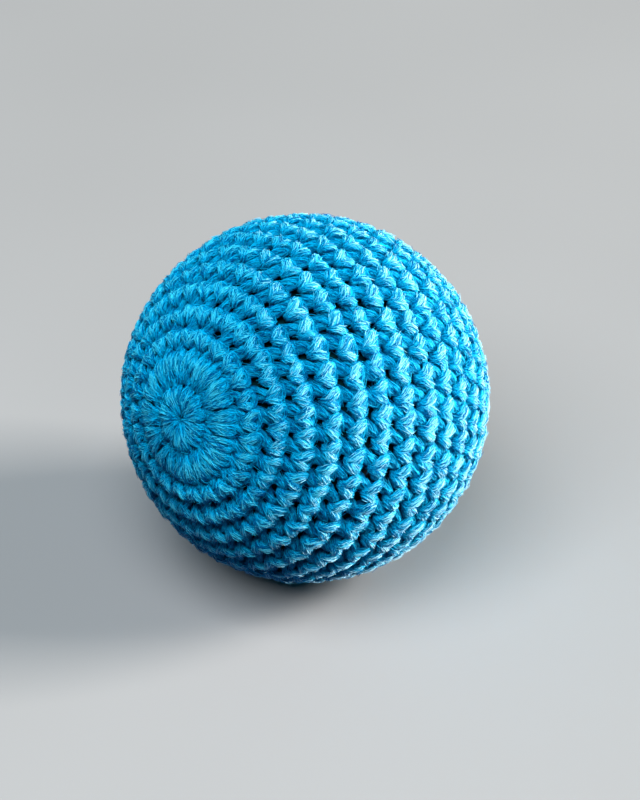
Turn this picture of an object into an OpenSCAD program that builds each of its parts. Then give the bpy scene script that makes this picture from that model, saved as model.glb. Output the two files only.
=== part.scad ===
// Crocheted juggling ball.
// A solid core ball sits in a snug cover that is crocheted in the round. The cover starts at a
// drawn-up ring of yarn, grows round by round to the middle, shrinks again and is drawn shut.
// Each round is one ring of yarn with a swell for each of its stitches.
// The ball lies on one stitch and its neighbours, which are pressed flat there.
// Angles of the rounds are measured at the centre of the ball, from the starting pole.

/* [Ball] */
// Diameter of the solid core ball
core_d = 62; // [50:0.5:75]
// Thickness of the cover, from the core to the top of a stitch
cover_t = 4; // [3.8:0.1:5]
// Height of a stitch above the valley between two rounds
stitch_h = 1.4; // [0.6:0.1:1.6]
// Depth of the flat that the ball lies on
rest_depth = 0.5; // [0.3:0.1:0.7]

/* [Crochet] */
// Stitches in each round, from the starting ring to the closing gather
stitches = [12, 24, 24, 36, 36, 36, 36, 42, 42, 42, 42, 42, 42, 42, 36, 36, 36, 36, 24, 24, 12];
// Angle that the first round spans
first_round_deg = 10; // [9:0.5:12]
// Angle that the second round spans
second_round_deg = 11; // [9:0.5:14]

/* [Yarn ends] */
// Thickness of the yarn where the cover presses it on the core
yarn_d = 1.6; // [1.2:0.1:1.8]
// Radius of the starting ring and of the closing gather, to the middle of the yarn
ring_r = 1.6; // [1.4:0.1:2.4]
// Width of the eye that stays open where the yarn is drawn up
eye_d = 0.8; // [0.5:0.1:1.2]
// Length of the first yarn end
starting_tail_l = 28; // [15:1:45]
// Length of the last yarn end
closing_tail_l = 34; // [15:1:45]

/* [Lie] */
// Round that the ball lies on
rest_round = 13; // [10:1:15]
// Heading of the starting pole, turned about the upright from +X
pole_heading = 225; // [0:5:355]

/* [Clearances] */
// Room between the core and what lies on it
core_gap = 0.1; // [0.05:0.05:0.3]
// Room between two rounds, at the core
round_gap = 0.1; // [0.05:0.05:0.3]
// Room in the cover around a yarn end or a ring of yarn
yarn_gap = 0.15; // [0.05:0.05:0.3]

/* [Hidden] */
$fn = 96;
core_r = core_d / 2;
seat_r = core_r + core_gap;
crest_r = core_r + cover_t;
valley_r = crest_r - stitch_h;
strand_r = seat_r + yarn_d / 2;
round_count = len(stitches);
later_round_deg = (180 - first_round_deg - second_round_deg) / (round_count - 2);
round_gap_deg = 2 * asin(round_gap / 2 / seat_r);
eye_deg = asin(eye_d / 2 / valley_r);
ring_edge_r = ring_r + yarn_d / 2;
tail_start_deg = asin((ring_edge_r + yarn_gap) / strand_r) + asin(yarn_d / 2 / strand_r);
yarn_colour = [0.05, 0.62, 0.80];
core_colour = [0.05, 0.05, 0.06];

// Angle at which a round starts: the first two rounds have their own height
function round_start(k) =
    k == 1 ? 0 : k == 2 ? first_round_deg : first_round_deg + second_round_deg + (k - 3) * later_round_deg;
function round_mid(k) = (round_start(k) + round_start(k + 1)) / 2;
function round_name(k) = str("round_", k < 10 ? "0" : "", k);
function at(r, angle) = [r * sin(angle), r * cos(angle)];
function arc_deg(length) = length / strand_r * 180 / PI;

// Radius of the ball that fits between the two edges of a round, under the top of a stitch
function stitch_r(k) =
    let (edge = sin((round_start(k + 1) - round_start(k)) / 2))
    (crest_r * edge - round_gap) / (1 + edge);

pole_rise = round_mid(rest_round) - 90;

// Puts a piece that is made about the crochet axis, starting pole up, where the ball lies
module lie() {
    translate([0, 0, crest_r - rest_depth])
        rotate([0, 90 - pole_rise, pole_heading])
            children();
}

module below_floor() {
    translate([-2 * crest_r, -2 * crest_r, -crest_r])
        cube([4 * crest_r, 4 * crest_r, crest_r]);
}

// Cross-section of the band that a round's stitches stand on: it seats on the core
module band_section(k) {
    from_deg = k == 1 ? eye_deg : round_start(k) + round_gap_deg / 2;
    to_deg = k == round_count ? 180 - eye_deg : round_start(k + 1) - round_gap_deg / 2;
    difference() {
        intersection() {
            polygon([[0, 0], at(2 * crest_r, from_deg), at(2 * crest_r, to_deg)]);
            circle(r = valley_r);
        }
        circle(r = seat_r);
    }
}

// Swells of a round's stitches, half a stitch on from round to round; the ball lies on one of them
module stitch_swells(k) {
    count = stitches[k - 1];
    for (i = [0:count - 1])
        rotate([0, round_mid(k), (i + abs(k - rest_round) % 2 / 2) * 360 / count])
            translate([0, 0, crest_r - stitch_r(k)])
                sphere(r = stitch_r(k));
}

// Ring of yarn on the core about the starting pole
module yarn_ring() {
    rotate_extrude()
        translate([ring_r, strand_r])
            circle(d = yarn_d);
}

// Pocket under the first stitches that takes the ring
module ring_pocket() {
    cylinder(r = ring_edge_r + yarn_gap, h = strand_r + yarn_d / 2 + yarn_gap);
}

// Yarn end that runs down the core from the ring about the starting pole
module yarn_tail(length, room) {
    tail_deg = arc_deg(length);
    room_deg = arc_deg(room);
    rotate([90, 0, 0])
        rotate([0, 0, 90 - tail_start_deg - tail_deg - room_deg])
            rotate_extrude(angle = tail_deg + 2 * room_deg)
                translate([strand_r, 0])
                    circle(d = yarn_d + 2 * room);
}

// Turns a piece at the starting pole over to the closing pole
module at_close() {
    rotate([180, 0, 0])
        children();
}

module core() {
    color(core_colour)
        lie()
            sphere(d = core_d);
}

module starting_ring() {
    color(yarn_colour)
        lie()
            yarn_ring();
}

module starting_tail() {
    color(yarn_colour)
        lie()
            yarn_tail(starting_tail_l, 0);
}

module crochet_round(k) {
    color(yarn_colour)
        difference() {
            lie()
                difference() {
                    union() {
                        rotate_extrude()
                            band_section(k);
                        stitch_swells(k);
                    }
                    sphere(r = seat_r);
                    if (k == 1) ring_pocket();
                    if (k == round_count) at_close() ring_pocket();
                    yarn_tail(starting_tail_l, yarn_gap);
                    at_close() yarn_tail(closing_tail_l, yarn_gap);
                }
            below_floor();
        }
}

module closing_gather() {
    color(yarn_colour)
        lie()
            at_close() yarn_ring();
}

module closing_tail() {
    color(yarn_colour)
        lie()
            at_close() yarn_tail(closing_tail_l, 0);
}

core();
starting_ring();
starting_tail();
for (k = [1:round_count])
    crochet_round(k);
closing_gather();
closing_tail();
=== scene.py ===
"""Looks of a crocheted juggling ball.

Each round of the cover is one plied strand of yarn, looped stitch by stitch over a black rubber core.
Places on the cover are given as a stitch is seen from outside, with its growing edge up.
"""
import math
import random

import bmesh
import bpy
import numpy as np
from mathutils import Matrix, Vector


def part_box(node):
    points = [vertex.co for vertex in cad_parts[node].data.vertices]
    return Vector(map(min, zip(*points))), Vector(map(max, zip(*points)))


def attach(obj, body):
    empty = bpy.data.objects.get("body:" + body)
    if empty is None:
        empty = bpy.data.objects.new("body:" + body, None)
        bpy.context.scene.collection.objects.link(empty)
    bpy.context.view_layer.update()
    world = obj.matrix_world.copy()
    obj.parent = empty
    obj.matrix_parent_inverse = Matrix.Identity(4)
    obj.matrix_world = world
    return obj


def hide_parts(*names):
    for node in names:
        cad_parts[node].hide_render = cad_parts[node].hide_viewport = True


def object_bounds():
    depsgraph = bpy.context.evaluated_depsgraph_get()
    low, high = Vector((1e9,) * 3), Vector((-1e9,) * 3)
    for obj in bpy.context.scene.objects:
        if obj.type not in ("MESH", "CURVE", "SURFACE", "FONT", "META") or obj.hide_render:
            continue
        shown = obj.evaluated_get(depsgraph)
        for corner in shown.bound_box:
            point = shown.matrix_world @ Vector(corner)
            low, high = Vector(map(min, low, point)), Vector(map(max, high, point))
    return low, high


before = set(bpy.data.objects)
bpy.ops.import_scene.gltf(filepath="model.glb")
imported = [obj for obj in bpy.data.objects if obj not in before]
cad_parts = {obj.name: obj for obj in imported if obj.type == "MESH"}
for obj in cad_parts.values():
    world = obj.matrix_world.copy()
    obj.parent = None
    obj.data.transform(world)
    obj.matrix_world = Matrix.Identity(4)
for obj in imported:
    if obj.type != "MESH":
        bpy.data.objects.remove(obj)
cad_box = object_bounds()

MM = 0.001
SEED = 7

# Crochet: stitches in each round, the angles that the first rounds span, and the eye at a pole
STITCHES = [12, 24, 24, 36, 36, 36, 36, 42, 42, 42, 42, 42, 42, 42, 36, 36, 36, 36, 24, 24, 12]
FIRST_ROUND_DEG = 10.0
SECOND_ROUND_DEG = 11.0
EYE_DEG = 0.6
# A stitch is worked into the top loop of the one below, this share of a width to its right
TOP_LOOP_RIGHT = 0.35
# Share by which stitches that are worked into one loop draw apart at the foot
FOOT_SPREAD = 0.7
# Heights in a round between which a stitch swings from over its foot to its own even place
SWING_FROM = 0.2
SWING_TO = 0.6
# Unevenness of handwork: sway as a share of a width, rise as a share of a height, puff in millimetres,
# slack as a share of the thickness, and the slow waves of a round's edge with their number in a turn
SWAY = 0.07
RISE = 0.05
PUFF = 0.18
SLACK = 0.06
WAVE_DEG = 0.7
WAVE_COUNTS = (2, 3)

# Yarn, in millimetres
YARN_R = 0.95
PLIES = 4
PLY_DEPTH = 0.14
PLY_PITCH = 12.0
SPAN_STEPS = 2
# Distance within which the points at the tip of a strand become one
TIP_MERGE = 0.0001
# Points by which the ends of a round's strand overlap, at each end
LAP_POINTS = 2
# Legs of a stitch, side by side
LEGS = 2
# Yarn that crowds at a pole: share of its room that it may fill, and the least radius that it keeps;
# yarn that lies lower than the given lift is hidden and keeps its thickness
CROWD = 1.02
CROWDED_R = 0.3
HIDDEN_LIFT = 1.2
# Width of a stitch below which its yarn is drawn thinner
FULL_W = 4.8
# Stitches narrower than this are drawn up tight, with their legs side by side
CROWDED_W = 2.6
# Near a pole the legs of a stitch are longer: height in the round above which they stay as they are,
# share by which they grow at most, and the angles from the pole between which that fades
LEG_TOP = 0.66
LEG_GROWTH = 0.3
LONG_LEGS_DEG = (28.0, 62.0)
# How flat the stitches lie: heights on the cover, as a share of its thickness, go to this power
PRESS = 0.66

# Fibres that lie on the outside of the yarn and stand off it, in millimetres
FIBRE_GROUPS = 6
FIBRE_COUNT = 16000
FIBRE_R = 0.09
FIBRE_L = (0.9, 2.4)
FIBRE_POINTS = 3
FIBRE_SIDES = 3
# Share of its thickness that a fibre loses towards its tip
FIBRE_TAPER = 0.6
# Lift above which a strand has fibres
FIBRE_LIFT = 1.6
# How far a tip stands off the strand at most, and the power that keeps most of the tips low
FIBRE_RISE = 0.6
RISE_POWER = 3
# How far a tip strays to the side: the usual distance, how even the spread is, and its limit
FIBRE_STRAY = 0.25
STRAY_FREEDOM = 4
STRAY_LIMIT = 3
# Points of a strand that a fibre may pass
FIBRE_REACH = 5
# Turn about the strand to either side of its outside within which fibres start, and how far they wind
FIBRE_TURN_DEG = 85.0
FIBRE_WIND_DEG = 15.0
# Cells in a row of the fibres' map
FIBRE_CELLS = math.ceil(math.sqrt(FIBRE_COUNT))
# Margins in the maps for baking, as shares of a strand's row and of a fibre's cell
ROW_MARGIN = 0.02
CELL_MARGIN = 0.05

# Yarn ends and rings on the core, in millimetres, pressed a little thinner than their solids
END_YARN_R = 0.7
END_STEPS = 24
RING_R = 1.6
TAIL_START_DEG = 6.0
STARTING_TAIL_L = 28.0
CLOSING_TAIL_L = 34.0
# Angles of the two poles
AT_START = 0.0
AT_CLOSE = math.pi

# Path of the yarn through one stitch: widths to the right of its foot, round heights up from it,
# lift above the core in millimetres, and share of the yarn's full thickness
STITCH_PATH = [
    # from the stitch before, behind the round
    (0.42, 0.50, 1.5, 1.0),
    (0.26, 0.42, 1.2, 0.9),
    # out of the foot and up the right leg
    (0.11, 0.34, 1.0, 0.8),
    (0.08, 0.31, 1.6, 0.85),
    (0.10, 0.36, 2.1, 0.95),
    (0.15, 0.44, 2.5, 1.05),
    (0.21, 0.52, 2.8, 1.1),
    (0.27, 0.59, 2.85, 1.1),
    (0.32, 0.64, 2.5, 1.05),
    # over the edge and behind the top
    (0.31, 0.69, 1.8, 0.95),
    (0.18, 0.73, 1.4, 0.9),
    (0.02, 0.77, 1.5, 0.9),
    (-0.14, 0.80, 1.7, 0.95),
    (-0.28, 0.78, 2.0, 1.0),
    # down the left leg and into the foot
    (-0.35, 0.73, 2.45, 1.05),
    (-0.30, 0.66, 2.8, 1.1),
    (-0.22, 0.60, 2.9, 1.1),
    (-0.12, 0.53, 2.8, 1.1),
    (-0.05, 0.45, 2.5, 1.05),
    (-0.02, 0.37, 2.1, 0.95),
    (-0.01, 0.31, 1.6, 0.85),
    (-0.05, 0.33, 1.0, 0.8),
    # up behind the round
    (-0.12, 0.42, 1.0, 0.9),
    (-0.14, 0.66, 1.1, 0.95),
    (-0.03, 0.96, 1.3, 0.95),
    # the loop that the next round is worked into
    (0.09, 1.26, 1.4, 0.75),
    (0.12, 1.39, 1.5, 0.75),
    (0.05, 1.39, 1.75, 0.78),
    (-0.07, 1.29, 1.9, 0.78),
    (-0.18, 1.18, 1.85, 0.78),
    (-0.27, 1.07, 1.6, 0.8),
    # behind the round to the next stitch
    (-0.36, 0.98, 1.3, 0.9),
    (-0.47, 0.80, 1.2, 0.95),
    (-0.55, 0.62, 1.5, 1.0),
]

# The same for a stitch that is drawn up tight near a pole
TIGHT_PATH = [
    # from the stitch before, and up the right leg
    (0.42, 0.46, 1.0, 1.3),
    (0.34, 0.16, 1.0, 1.2),
    (0.11, 0.03, 1.6, 0.85),
    (0.13, 0.20, 2.3, 0.95),
    (0.17, 0.44, 2.8, 1.05),
    (0.21, 0.68, 2.95, 1.1),
    (0.23, 0.86, 2.5, 1.0),
    # over the edge and behind the top
    (0.17, 0.97, 1.8, 0.9),
    (-0.04, 1.01, 1.6, 0.9),
    (-0.23, 0.98, 1.8, 0.9),
    # down the left leg
    (-0.24, 0.86, 2.5, 1.0),
    (-0.22, 0.68, 2.95, 1.1),
    (-0.17, 0.44, 2.8, 1.05),
    (-0.12, 0.20, 2.3, 0.95),
    (-0.10, 0.03, 1.6, 0.85),
    # up behind the round
    (-0.14, 0.30, 1.0, 1.0),
    (-0.14, 0.62, 1.1, 1.2),
    (-0.03, 0.96, 1.3, 1.1),
    # the loop that the next round is worked into
    (0.09, 1.20, 1.4, 0.90),
    (0.12, 1.33, 1.6, 0.90),
    (0.05, 1.34, 1.8, 0.95),
    (-0.07, 1.26, 1.95, 0.95),
    (-0.18, 1.16, 1.95, 0.95),
    (-0.27, 1.07, 1.7, 0.95),
    # behind the round to the next stitch
    (-0.36, 0.98, 1.3, 1.2),
    (-0.47, 0.80, 1.1, 1.3),
    (-0.56, 0.62, 1.0, 1.3),
]

# Colours of the yarn: a painted shade for the depth of the cover, its own deep, full and bright tones, and
# a painted highlight for the tops of the stitches
PAINTED_SHADE = (0.0, 0.06, 0.18, 1)
DEEP = (0.0, 0.14, 0.32, 1)
FULL = (0.0, 0.38, 0.63, 1)
BRIGHT = (0.06, 0.62, 0.82, 1)
PAINTED_HIGHLIGHT = (0.34, 0.74, 0.86, 1)
# The same for its loose fibres: their own tones, and a painted highlight for the tops of the stitches
FIBRE_DEEP = (0.0, 0.13, 0.32, 1)
FIBRE_FULL = (0.01, 0.53, 0.79, 1)
FIBRE_PAINTED_HIGHLIGHT = (0.5, 0.78, 0.88, 1)
# Lifts in millimetres between which painted shade darkens the cover deep down and a painted highlight
# lightens its tops, and how far they go
PAINTED_SHADE_LIFT = (3.05, 1.55)
PAINTED_SHADE_SHARE = 0.85
PAINTED_HIGHLIGHT_LIFT = (3.3, 3.9)
PAINTED_HIGHLIGHT_SHARE = 0.2
FIBRE_PAINTED_HIGHLIGHT_LIFT = (3.2, 3.8)
FIBRE_PAINTED_HIGHLIGHT_SHARE = 0.9
# Streaks on the yarn: turns about the strand in a millimetre, and how fine they are along and around it
STREAK_TWIST = 0.04
CLUMP_SCALE = (0.8, 3.0)
STREAK_SCALE = (1.2, 5.5)
DYE_SCALE = (0.12, 0.6)
DYE_SHARE = 0.2
# Height of the streaks: clumps and single fibres as shares of the depth in millimetres
CLUMP_HEIGHT = 0.7
STREAK_HEIGHT = 0.4
STREAK_DEPTH = 0.9
# Sheen: its tint, and its level on the yarn and on the fibres
SHEEN_TINT = (0.4, 0.95, 1.0, 1)
YARN_SHEEN = 0.08
FIBRE_SHEEN = 0.05

# Camera: the ball's outline in the photograph's frame of 640 by 800 pixels
IMAGE_W = 640
IMAGE_H = 800
OUTLINE_X = 305
OUTLINE_Y = 398
OUTLINE_R = 185.5
CAMERA_RISE_DEG = 34.5
CAMERA_DISTANCE_RADII = 20.0
SENSOR_W = 36.0

# Light: white keys from the right, blue fills on the ball and a plain one on the floor
KEY_COLOUR = (1.0, 0.98, 0.94)
FILL_COLOUR = (0.07, 0.8, 1.0)
FLOOR_FILL_COLOUR = (0.85, 0.93, 1.0)
WORLD_COLOUR = (0.07, 0.77, 1.0, 1)
WORLD_STRENGTH = 0.07
# Square lamps that face the ball: heading and rise in degrees, where a heading of 0 is on the viewer's
# right, distance and width in metres, watts, and colour
BALL_LAMPS = {
    "key": (358, 7, 1.2, 0.45, 51.0, KEY_COLOUR),
    "front_fill": (278, 66, 1.2, 0.7, 25.5, FILL_COLOUR),
    "back_fill": (140, 12, 1.2, 0.7, 9.0, FILL_COLOUR),
}
FLOOR_LAMPS = {
    "floor_key": (3, 30, 2.6, 0.9, 80.0, KEY_COLOUR),
    "floor_fill": (245, 60, 1.2, 0.9, 16.0, FLOOR_FILL_COLOUR),
}
# Half the width of the floor, in metres
FLOOR_HALF = 3.0

# Sockets of a Mix node that mix two colours
MIX_SHARE = 0
MIX_FIRST = 6
MIX_SECOND = 7
MIX_COLOUR = 2


# Frame of the ball

core_low, core_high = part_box("core")
ring_low, ring_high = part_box("starting_ring")
CENTRE = (core_low + core_high) / 2
CENTRE_PLACE = np.array(CENTRE)
CORE_R = (core_high.x - core_low.x) / 2 / MM
BALL_R = (cad_box[1].x - cad_box[0].x) / 2
COVER_T = BALL_R / MM - CORE_R
pole = ((ring_low + ring_high) / 2 - CENTRE).normalized()
pole_heading = Matrix.Rotation(math.atan2(pole.y, pole.x), 4, "Z")
pole_tilt = Matrix.Rotation(math.acos(pole.z), 4, "Y")
LIE = Matrix.Translation(CENTRE) @ pole_heading @ pole_tilt

# Angles of the rounds' edges from the starting pole
third_round_deg = FIRST_ROUND_DEG + SECOND_ROUND_DEG
later_rounds = len(STITCHES) - 2
later_round_deg = (180 - FIRST_ROUND_DEG - SECOND_ROUND_DEG) / later_rounds
ROUND_EDGES = [EYE_DEG, FIRST_ROUND_DEG]
ROUND_EDGES += [third_round_deg + i * later_round_deg for i in range(later_rounds)]
ROUND_EDGES.append(180 - EYE_DEG)


def on_ball(azimuth, polar, lift):
    """Point in the frame at an azimuth and an angle from the starting pole, lifted off the core."""
    r = (CORE_R + lift) * MM
    across = r * math.sin(polar)
    return LIE @ Vector((across * math.cos(azimuth), across * math.sin(azimuth), r * math.cos(polar)))


def press(places):
    """Press places on the cover flat, towards the top of the stitches; none stays under the floor."""
    away = places - CENTRE_PLACE
    reach = np.linalg.norm(away, axis=1, keepdims=True)
    lift = np.maximum(reach / MM - CORE_R, 0)
    pressed = CORE_R + COVER_T * (lift / COVER_T) ** PRESS
    flat = CENTRE_PLACE + away * np.where(lift > 0, pressed * MM / reach, 1)
    flat[:, 2] = np.maximum(flat[:, 2], 0)
    return flat


def smooth(share):
    """Ease a share in and out, and hold it between 0 and 1."""
    held = min(1, max(0, share))
    return held * held * (3 - 2 * held)


def unit(vectors):
    return vectors / np.linalg.norm(vectors, axis=1, keepdims=True)


def add_object(name, data):
    """Put a new object in the scene."""
    added = bpy.data.objects.new(name, data)
    bpy.context.scene.collection.objects.link(added)
    return added


# Materials

class Value:
    """A socket in a material's nodes; arithmetic on it adds Math nodes."""

    def __init__(self, tree, socket=None):
        self.tree = tree
        self.socket = socket

    def node(self, kind, settings, inputs, output=0):
        """Add a node: its settings first, then the values or links of its sockets."""
        made = self.tree.nodes.new(kind)
        for name, setting in settings.items():
            setattr(made, name, setting)
        for name, value in inputs.items():
            if isinstance(value, Value):
                self.tree.links.new(value.socket, made.inputs[name])
            else:
                made.inputs[name].default_value = value
        return Value(self.tree, made.outputs[output]) if made.outputs else None

    def maths(self, operation, *terms):
        return self.node("ShaderNodeMath", {"operation": operation}, dict(enumerate(terms)))

    def __add__(self, other):
        return self.maths("ADD", self, other)

    def __sub__(self, other):
        return self.maths("SUBTRACT", self, other)

    def __rsub__(self, other):
        return self.maths("SUBTRACT", other, self)

    def __mul__(self, other):
        return self.maths("MULTIPLY", self, other)

    __radd__ = __add__
    __rmul__ = __mul__

    def cosine(self):
        return self.maths("COSINE", self)

    def sine(self):
        return self.maths("SINE", self)

    def eased(self, start, end):
        """Rise smoothly from 0 to 1 as the value goes from start to end."""
        settings = {"interpolation_type": "SMOOTHSTEP"}
        inputs = {"Value": self, "From Min": start, "From Max": end}
        return self.node("ShaderNodeMapRange", settings, inputs)

    def place(self):
        """Place in the frame, in metres."""
        return self.node("ShaderNodeTexCoord", {}, {}, "Object")

    def vector(self, x, y, z):
        return self.node("ShaderNodeCombineXYZ", {}, {"X": x, "Y": y, "Z": z})

    def noise(self, place, scale, detail):
        inputs = {"Vector": place, "Scale": scale, "Detail": detail}
        return self.node("ShaderNodeTexNoise", {}, inputs)

    def mix(self, share, first, second):
        settings = {"data_type": "RGBA", "clamp_factor": True}
        inputs = {MIX_SHARE: share, MIX_FIRST: first, MIX_SECOND: second}
        return self.node("ShaderNodeMix", settings, inputs, MIX_COLOUR)

    def bump(self, height, distance, strength):
        inputs = {"Height": height, "Distance": distance, "Strength": strength}
        return self.node("ShaderNodeBump", {}, inputs)


def new_material(name):
    """Material without nodes, and the value that adds them."""
    material = bpy.data.materials.new(name)
    material.use_nodes = True
    material.node_tree.nodes.clear()
    return material, Value(material.node_tree)


def finish_surface(v, inputs):
    surface = v.node("ShaderNodeBsdfPrincipled", {}, inputs)
    v.node("ShaderNodeOutputMaterial", {}, {"Surface": surface})


def lift_off_core(v):
    """Height on the cover in millimetres."""
    ends = {0: v.place(), 1: CENTRE}
    reach = v.node("ShaderNodeVectorMath", {"operation": "DISTANCE"}, ends, "Value")
    return reach * (1 / MM) - CORE_R


def yarn_material():
    """Turquoise plied yarn: fine fibres that wind slowly about the strand, with painted shade in the depth
    and a painted highlight on the tops.
    """
    material, v = new_material("turquoise_yarn")
    strand = v.node("ShaderNodeUVMap", {"uv_map": "Strand"}, {})
    along = v.node("ShaderNodeSeparateXYZ", {}, {"Vector": strand}, "X")
    around = v.node("ShaderNodeSeparateXYZ", {}, {"Vector": strand}, "Y")
    turn = (around + along * STREAK_TWIST) * math.tau

    def streaks(length, girth):
        place = v.vector(along * length, turn.cosine() * girth, turn.sine() * girth)
        return v.noise(place, scale=1.0, detail=1.0)

    clumps = streaks(*CLUMP_SCALE)
    fibres = streaks(*STREAK_SCALE)
    dye = streaks(*DYE_SCALE)
    lift = lift_off_core(v)
    colour = v.mix(clumps.eased(0.36, 0.54), DEEP, FULL)
    colour = v.mix(fibres.eased(0.48, 0.66), colour, BRIGHT)
    colour = v.mix(dye.eased(0.35, 0.7) * DYE_SHARE, colour, DEEP)
    # Painted highlight: the tops of the stitches are made paler
    colour = v.mix(lift.eased(*PAINTED_HIGHLIGHT_LIFT) * PAINTED_HIGHLIGHT_SHARE, colour, PAINTED_HIGHLIGHT)
    # Painted shade: the yarn is made darker deep in the cover
    colour = v.mix(lift.eased(*PAINTED_SHADE_LIFT) * PAINTED_SHADE_SHARE, colour, PAINTED_SHADE)
    height = clumps * CLUMP_HEIGHT + fibres * STREAK_HEIGHT
    finish_surface(v, {
        "Base Color": colour,
        "Roughness": 0.54 - fibres.eased(0.4, 0.7) * 0.16,
        "Normal": v.bump(height, distance=STREAK_DEPTH * MM, strength=1.0),
        "Specular IOR Level": YARN_SHEEN,
        "Specular Tint": SHEEN_TINT,
    })
    return material


def fibre_material():
    """Fibres of the yarn, each of its own tone, with a painted highlight on the tops of the stitches and
    painted shade deep down.
    """
    material, v = new_material("loose_fibre")
    cells = v.node("ShaderNodeUVMap", {"uv_map": "OFBake"}, {})
    cell = v.node("ShaderNodeVectorMath", {"operation": "SCALE"}, {0: cells, "Scale": FIBRE_CELLS})
    cell = v.node("ShaderNodeVectorMath", {"operation": "FLOOR"}, {0: cell})
    tone = v.node("ShaderNodeTexWhiteNoise", {"noise_dimensions": "3D"}, {"Vector": cell})
    lift = lift_off_core(v)
    # Painted highlight: paler fibres on the tops of the stitches
    top = tone.eased(0.25, 0.5) * lift.eased(*FIBRE_PAINTED_HIGHLIGHT_LIFT)
    colour = v.mix(tone.eased(0.15, 0.5), FIBRE_DEEP, FIBRE_FULL)
    colour = v.mix(top * FIBRE_PAINTED_HIGHLIGHT_SHARE, colour, FIBRE_PAINTED_HIGHLIGHT)
    # Painted shade: the fibres are made darker deep in the cover
    colour = v.mix(lift.eased(*PAINTED_SHADE_LIFT) * PAINTED_SHADE_SHARE, colour, PAINTED_SHADE)
    finish_surface(v, {
        "Base Color": colour,
        "Roughness": 0.45,
        "Specular IOR Level": FIBRE_SHEEN,
        "Specular Tint": SHEEN_TINT,
    })
    return material


def rubber_material():
    """Matt black rubber with a faint bloom."""
    material, v = new_material("black_rubber")
    place = v.place()
    bloom = v.noise(place, scale=90.0, detail=3.0)
    grain = v.noise(place, scale=900.0, detail=2.0)
    black = (0.004, 0.005, 0.007, 1)
    dusty = (0.010, 0.011, 0.014, 1)
    finish_surface(v, {
        "Base Color": v.mix(bloom.eased(0.4, 0.75), black, dusty),
        "Roughness": 0.55 + bloom * 0.2,
        "Normal": v.bump(grain, distance=0.05 * MM, strength=0.4),
    })
    return material


def floor_material():
    """Pale floor; the light that it throws back on the ball is dim and blue."""
    material, v = new_material("pale_floor")
    cloud = v.noise(v.place(), scale=6.0, detail=2.0)
    pale = v.mix(cloud.eased(0.3, 0.7), (0.44, 0.42, 0.41, 1), (0.47, 0.45, 0.44, 1))
    thrown = (0.02, 0.05, 0.14, 1)
    seen = v.node("ShaderNodeLightPath", {}, {}, "Is Camera Ray")
    mirrored = v.node("ShaderNodeLightPath", {}, {}, "Is Glossy Ray")
    through = v.node("ShaderNodeLightPath", {}, {}, "Is Transmission Ray")
    finish_surface(v, {
        "Base Color": v.mix(seen + mirrored + through, thrown, pale),
        "Roughness": 0.8,
    })
    return material


# Yarn

def profile(name, outline):
    """Closed outline to sweep along a curve, from turns in degrees and distances in millimetres."""
    curve = bpy.data.curves.new(name, "CURVE")
    curve.dimensions = "2D"
    spline = curve.splines.new("POLY")
    spline.points.add(len(outline) - 1)
    spline.use_cyclic_u = True
    for point, (turn_deg, distance) in zip(spline.points, outline):
        turn = math.radians(turn_deg)
        point.co = (MM * distance * math.cos(turn), MM * distance * math.sin(turn), 0, 1)
    return bpy.data.objects.new(name, curve)


def yarn_outline():
    """Outline across yarn of 1 mm radius: its plies side by side round the strand."""
    outline = []
    for ply in range(PLIES):
        middle = 360 * ply / PLIES
        outline.append((middle, 1.0))
        outline.append((middle + 180 / PLIES, 1.0 - PLY_DEPTH))
    return outline


def fibre_outline():
    return [(360 * side / FIBRE_SIDES, FIBRE_R) for side in range(FIBRE_SIDES)]


def swept_curve(name, outline):
    """Curve in space that a profile is swept along; its points are still to come."""
    curve = bpy.data.curves.new(name, "CURVE")
    curve.dimensions = "3D"
    curve.bevel_mode = "OBJECT"
    curve.bevel_object = outline
    return curve


def curve_to_mesh(name, curve):
    """Mesh of a swept curve, which it replaces."""
    path = add_object(name + "_path", curve)
    graph = bpy.context.evaluated_depsgraph_get()
    mesh = bpy.data.meshes.new_from_object(path.evaluated_get(graph))
    bpy.data.objects.remove(path)
    bpy.data.curves.remove(curve)
    mesh.name = name
    return mesh


def sweep_yarn(name, points, thickness):
    """Sweep the plied yarn along points; its ends are drawn to a tip."""
    lengths = [(b - a).length / MM for a, b in zip(points, points[1:])]
    walked = np.concatenate([[0], np.cumsum(lengths)])
    curve = swept_curve(name, YARN_PROFILE)
    curve.resolution_u = SPAN_STEPS
    spline = curve.splines.new("BEZIER")
    spline.bezier_points.add(len(points) - 1)
    for i, knot in enumerate(spline.bezier_points):
        knot.co = points[i]
        knot.handle_left_type = "AUTO"
        knot.handle_right_type = "AUTO"
        knot.radius = thickness[i]
        knot.tilt = math.tau * walked[i] / PLY_PITCH
    spline.bezier_points[0].radius = 0
    spline.bezier_points[-1].radius = 0
    mesh = curve_to_mesh(name, curve)
    lay_out_strand(mesh, walked)
    close_ends(mesh)
    return add_object(name, mesh)


def swept_map(mesh):
    """How far along and around a sweep each corner of its faces lies, as shares."""
    corners = np.empty(len(mesh.loops) * 2)
    mesh.uv_layers[0].data.foreach_get("uv", corners)
    return corners


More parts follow.
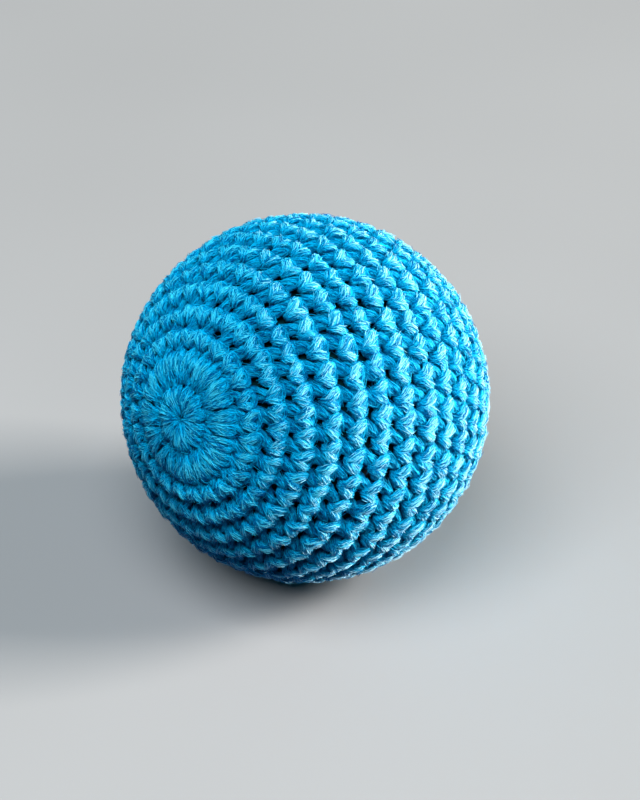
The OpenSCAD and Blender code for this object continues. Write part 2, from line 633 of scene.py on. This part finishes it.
def lay_out_strand(mesh, walked):
    """Give the strand its own map, millimetres along and turns around, and a map in rows for baking."""
    quads = swept_map(mesh).reshape(-1, 4, 2)
    around = quads[:, :, 1]
    steps = SPAN_STEPS * (len(walked) - 1)
    ring = np.rint(quads[:, :, 0] * steps)
    along = np.interp(ring / SPAN_STEPS, np.arange(len(walked)), walked)
    strand = np.stack([along, around], axis=-1)
    girth = math.tau * YARN_R
    rows = max(1, round(math.sqrt(walked[-1] / girth)))
    row_steps = math.ceil(steps / rows)
    row = ring.min(axis=1, keepdims=True) // row_steps
    across = (ring - row * row_steps) / row_steps
    up = (row + ROW_MARGIN + (1 - 2 * ROW_MARGIN) * around) / rows
    baked = np.stack([across, up], axis=-1)
    mesh.uv_layers[0].name = "Strand"
    mesh.uv_layers["Strand"].data.foreach_set("uv", strand.ravel())
    mesh.uv_layers.new(name="OFBake").data.foreach_set("uv", baked.ravel())
    mesh.uv_layers.active = mesh.uv_layers["Strand"]


def close_ends(mesh):
    """Close the tips of the strand."""
    bm = bmesh.new()
    bm.from_mesh(mesh)
    bmesh.ops.remove_doubles(bm, verts=bm.verts[:], dist=TIP_MERGE * MM)
    bmesh.ops.recalc_face_normals(bm, faces=bm.faces[:])
    bm.to_mesh(mesh)
    bm.free()


def dress(piece, material, *nodes):
    """Give a piece its material; it may stand for nodes of the frame."""
    piece.data.materials.clear()
    piece.data.materials.append(material)
    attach(piece, "root")
    if nodes:
        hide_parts(*nodes)


# Stitches

def stitch_places():
    """Azimuths of the feet and of the middles of every round's stitches."""
    wander = random.Random(SEED)
    places = []
    for count in STITCHES:
        order = np.arange(count)
        even = order * math.tau / count
        feet = even
        if places:
            below = places[-1][1]
            first = order * len(below) // count
            last = np.maximum(first, (order + 1) * len(below) // count - 1)
            feet = (below[first] + below[last]) / 2 - TOP_LOOP_RIGHT * math.tau / len(below)
        sway = np.array([wander.uniform(-SWAY, SWAY) for _ in order]) * math.tau / count
        middles = even + np.mean(feet - even) + sway
        feet = feet + FOOT_SPREAD * (middles - feet)
        places.append((feet, middles))
    return places


def wavy_edges():
    """Angles of the rounds' edges from the starting pole, as functions of the azimuth."""
    wander = random.Random(SEED + 1)
    waves = [(wander.uniform(0, math.tau), wander.choice(WAVE_COUNTS)) for _ in ROUND_EDGES]
    waves[0] = waves[-1] = None

    def edges_at(azimuth):
        angles = []
        for edge, wave in zip(ROUND_EDGES, waves):
            shift = WAVE_DEG * math.sin(wave[0] + wave[1] * azimuth) if wave else 0
            angles.append(math.radians(edge + shift))
        return angles

    return edges_at


def lapped(values):
    """Run on over the ends of a round, so that they overlap."""
    return values[-LAP_POINTS:] + values + values[:LAP_POINTS]


def round_strand(k, places, edges_at):
    """Points and thickness of the yarn through all the stitches of a round; its ends overlap."""
    width = math.tau / STITCHES[k - 1]
    middle_deg = (ROUND_EDGES[k - 1] + ROUND_EDGES[k]) / 2
    breadth = CORE_R * math.sin(math.radians(middle_deg)) * width
    path = STITCH_PATH if breadth > CROWDED_W else TIGHT_PATH
    drawn = math.sqrt(min(1, breadth / FULL_W))
    from_pole = min(middle_deg, 180 - middle_deg)
    growth = LEG_GROWTH * np.interp(from_pole, LONG_LEGS_DEG, (1, 0)) if path is STITCH_PATH else 0
    wander = random.Random(SEED + 10 * k)
    points = []
    thickness = []
    for foot, middle in zip(*places):
        rise = wander.uniform(-RISE, RISE)
        puff = wander.uniform(-PUFF, 0)
        slack = 1 + wander.uniform(-SLACK, SLACK)
        for right, up, lift, share in path:
            up -= growth * max(0, LEG_TOP - up)
            swing = smooth((up - SWING_FROM) / (SWING_TO - SWING_FROM))
            azimuth = foot + (middle - foot) * swing - right * width
            polar = np.interp(k - 1 + up + rise * swing, range(len(ROUND_EDGES)), edges_at(azimuth))
            height = lift + puff * swing
            points.append(on_ball(azimuth, polar, height))
            full = share * slack * drawn * YARN_R
            room = CROWD * (CORE_R + height) * math.sin(polar) * width / (2 * LEGS)
            thickness.append(full if lift < HIDDEN_LIFT else min(full, max(CROWDED_R, room)))
    return lapped(points), lapped(thickness)


def lay_strands():
    """The strands of all the rounds."""
    edges_at = wavy_edges()
    return [round_strand(k, places, edges_at) for k, places in enumerate(stitch_places(), 1)]


def make_rounds(strands, material):
    for k, strand in enumerate(strands, 1):
        name = f"round_{k:02d}"
        piece = sweep_yarn(name + "_yarn", *strand)
        places = np.empty(len(piece.data.vertices) * 3)
        piece.data.vertices.foreach_get("co", places)
        piece.data.vertices.foreach_set("co", press(places.reshape(-1, 3)).ravel())
        dress(piece, material, name)


# Fibres

def from_ends(points):
    """How many points lie between each point of a strand and its nearer end."""
    order = np.arange(len(points))
    return np.minimum(order, order[::-1])


def fibre_places(strands, count, wander):
    """Points of fibres that leave the outside of the strands, run along them and wind about them."""
    places = np.concatenate([np.array(points) for points, _ in strands])
    thickness = np.concatenate([np.array(radii) for _, radii in strands]) * MM
    inner = np.concatenate([from_ends(points) for points, _ in strands])
    ahead = np.gradient(places, axis=0)
    lift = np.linalg.norm(places - CENTRE_PLACE, axis=1) / MM - CORE_R
    outside = np.flatnonzero((lift > FIBRE_LIFT) & (inner > FIBRE_REACH + 1))
    root = wander.choice(outside, count)
    step = np.linalg.norm(ahead[root], axis=1)
    passed = np.minimum(wander.uniform(*FIBRE_L, count) * MM / step, FIBRE_REACH)
    reach = passed * wander.choice([-1, 1], count)
    start = root + wander.random(count)
    turn = np.radians(wander.uniform(-FIBRE_TURN_DEG, FIBRE_TURN_DEG, count))
    wind = np.radians(FIBRE_WIND_DEG) * wander.normal(size=count)
    rise = FIBRE_RISE * wander.random(count) ** RISE_POWER * MM
    spread = np.clip(wander.standard_t(STRAY_FREEDOM, count), -STRAY_LIMIT, STRAY_LIMIT)
    stray = FIBRE_STRAY * spread * MM
    fibres = []
    for share in np.linspace(0, 1, FIBRE_POINTS):
        low = np.floor(start + reach * share).astype(int)
        part = start + reach * share - low
        middle = places[low] + (places[low + 1] - places[low]) * part[:, None]
        along = unit(ahead[low] + (ahead[low + 1] - ahead[low]) * part[:, None])
        side = unit(np.cross(middle - CENTRE_PLACE, along))
        out = np.cross(along, side)
        angle = (turn + wind * share)[:, None]
        off = out * np.cos(angle) + side * np.sin(angle)
        radius = thickness[low] + (thickness[low + 1] - thickness[low]) * part
        aside = np.cross(along, off) * (stray * share)[:, None]
        fibres.append(press(middle + off * (radius + rise * share)[:, None] + aside))
    return np.stack(fibres, axis=1)


def make_fibres(name, fibres, material):
    """Some of the fibres, as one piece."""
    curve = swept_curve(name, FIBRE_PROFILE)
    for fibre in fibres:
        spline = curve.splines.new("POLY")
        spline.points.add(FIBRE_POINTS - 1)
        for step, (knot, place) in enumerate(zip(spline.points, fibre)):
            knot.co = (place[0], place[1], max(place[2], FIBRE_R * MM), 1)
            knot.radius = 1 - FIBRE_TAPER * step / (FIBRE_POINTS - 1)
    mesh = curve_to_mesh(name, curve)
    lay_out_fibres(mesh)
    dress(add_object(name, mesh), material)


def lay_out_fibres(mesh):
    """Give the fibres a map for baking, with a cell for each fibre."""
    fibres = swept_map(mesh).reshape(-1, (FIBRE_POINTS - 1) * FIBRE_SIDES * 4, 2)
    column = (np.arange(len(fibres)) % FIBRE_CELLS)[:, None]
    row = (np.arange(len(fibres)) // FIBRE_CELLS)[:, None]
    inside = CELL_MARGIN + (1 - 2 * CELL_MARGIN) * fibres
    baked = np.stack([column + inside[:, :, 0], row + inside[:, :, 1]], axis=-1) / FIBRE_CELLS
    mesh.uv_layers[0].name = "OFBake"
    mesh.uv_layers["OFBake"].data.foreach_set("uv", baked.ravel())


def make_fuzz(strands, material):
    wander = np.random.default_rng(SEED)
    for group in range(FIBRE_GROUPS):
        make_fibres(f"loose_fibres_{group + 1}", fibre_places(strands, FIBRE_COUNT, wander), material)


# Yarn ends and rings on the core

def make_end(name, points, material):
    piece = sweep_yarn(name + "_yarn", points, [END_YARN_R] * len(points))
    dress(piece, material, name)


def make_ring(name, pole_angle, material):
    polar = math.asin(RING_R / (CORE_R + END_YARN_R))
    turns = [math.tau * i / END_STEPS for i in range(END_STEPS + 1)]
    points = [on_ball(turn, abs(pole_angle - polar), END_YARN_R) for turn in turns]
    make_end(name, points, material)


def make_tail(name, pole_angle, length, material):
    arc = length / (CORE_R + END_YARN_R)
    polars = [math.radians(TAIL_START_DEG) + arc * i / END_STEPS for i in range(END_STEPS + 1)]
    points = [on_ball(0, abs(pole_angle - polar), END_YARN_R) for polar in polars]
    make_end(name, points, material)


# Camera, floor and light

def make_camera():
    """Camera that sees the ball's outline where the photograph has it."""
    rise = math.radians(CAMERA_RISE_DEG)
    toward = Vector((0, -math.cos(rise), math.sin(rise)))
    up = Vector((0, math.sin(rise), math.cos(rise)))
    distance = CAMERA_DISTANCE_RADII * BALL_R
    focal_px = OUTLINE_R / math.tan(math.asin(1 / CAMERA_DISTANCE_RADII))
    px = distance / focal_px
    aside = Vector((1, 0, 0)) * (IMAGE_W / 2 - OUTLINE_X) * px + up * (OUTLINE_Y - IMAGE_H / 2) * px
    data = bpy.data.cameras.new("camera")
    data.sensor_fit = "HORIZONTAL"
    data.sensor_width = SENSOR_W
    data.lens = focal_px * SENSOR_W / IMAGE_W
    camera = add_object("camera", data)
    camera.location = CENTRE + aside + toward * distance
    camera.rotation_euler = toward.to_track_quat("Z", "Y").to_euler()
    bpy.context.scene.camera = camera


def make_floor():
    bm = bmesh.new()
    bmesh.ops.create_grid(bm, x_segments=1, y_segments=1, size=FLOOR_HALF)
    mesh = bpy.data.meshes.new("floor")
    bm.to_mesh(mesh)
    bm.free()
    mesh.materials.append(floor_material())
    floor = add_object("floor", mesh)
    return floor


def make_lamps(lamps, group_name, objects):
    """Lamps that light the given objects alone."""
    group = bpy.data.collections.new(group_name)
    for lit in objects:
        group.objects.link(lit)
    for name, (heading_deg, rise_deg, distance, width, watts, colour) in lamps.items():
        heading = math.radians(heading_deg)
        rise = math.radians(rise_deg)
        level = math.cos(rise)
        away = Vector((level * math.cos(heading), level * math.sin(heading), math.sin(rise)))
        data = bpy.data.lights.new(name, "AREA")
        data.size = width
        data.energy = watts
        data.color = colour
        lamp = add_object(name, data)
        lamp.location = CENTRE + away * distance
        lamp.rotation_euler = away.to_track_quat("Z", "Y").to_euler()
        lamp.light_linking.receiver_collection = group


def make_light(floor):
    """Lamps for the ball, lamps for the floor, and a dim world."""
    ball = [piece for piece in bpy.context.scene.objects if piece.type == "MESH" and piece != floor]
    make_lamps(BALL_LAMPS, "ball_light", ball)
    make_lamps(FLOOR_LAMPS, "floor_light", [floor])
    world = bpy.data.worlds.new("studio")
    world.use_nodes = True
    background = world.node_tree.nodes["Background"]
    background.inputs["Color"].default_value = WORLD_COLOUR
    background.inputs["Strength"].default_value = WORLD_STRENGTH
    bpy.context.scene.world = world
    bpy.context.scene.view_settings.view_transform = "Standard"


# Assembly

make_camera()
floor = make_floor()
YARN_PROFILE = profile("yarn_profile", yarn_outline())
FIBRE_PROFILE = profile("fibre_profile", fibre_outline())
yarn = yarn_material()
strands = lay_strands()
make_rounds(strands, yarn)
make_fuzz(strands, fibre_material())
make_ring("starting_ring", AT_START, yarn)
make_ring("closing_gather", AT_CLOSE, yarn)
make_tail("starting_tail", AT_START, STARTING_TAIL_L, yarn)
make_tail("closing_tail", AT_CLOSE, CLOSING_TAIL_L, yarn)
core_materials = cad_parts["core"].data.materials
core_materials.clear()
core_materials.append(rubber_material())
make_light(floor)
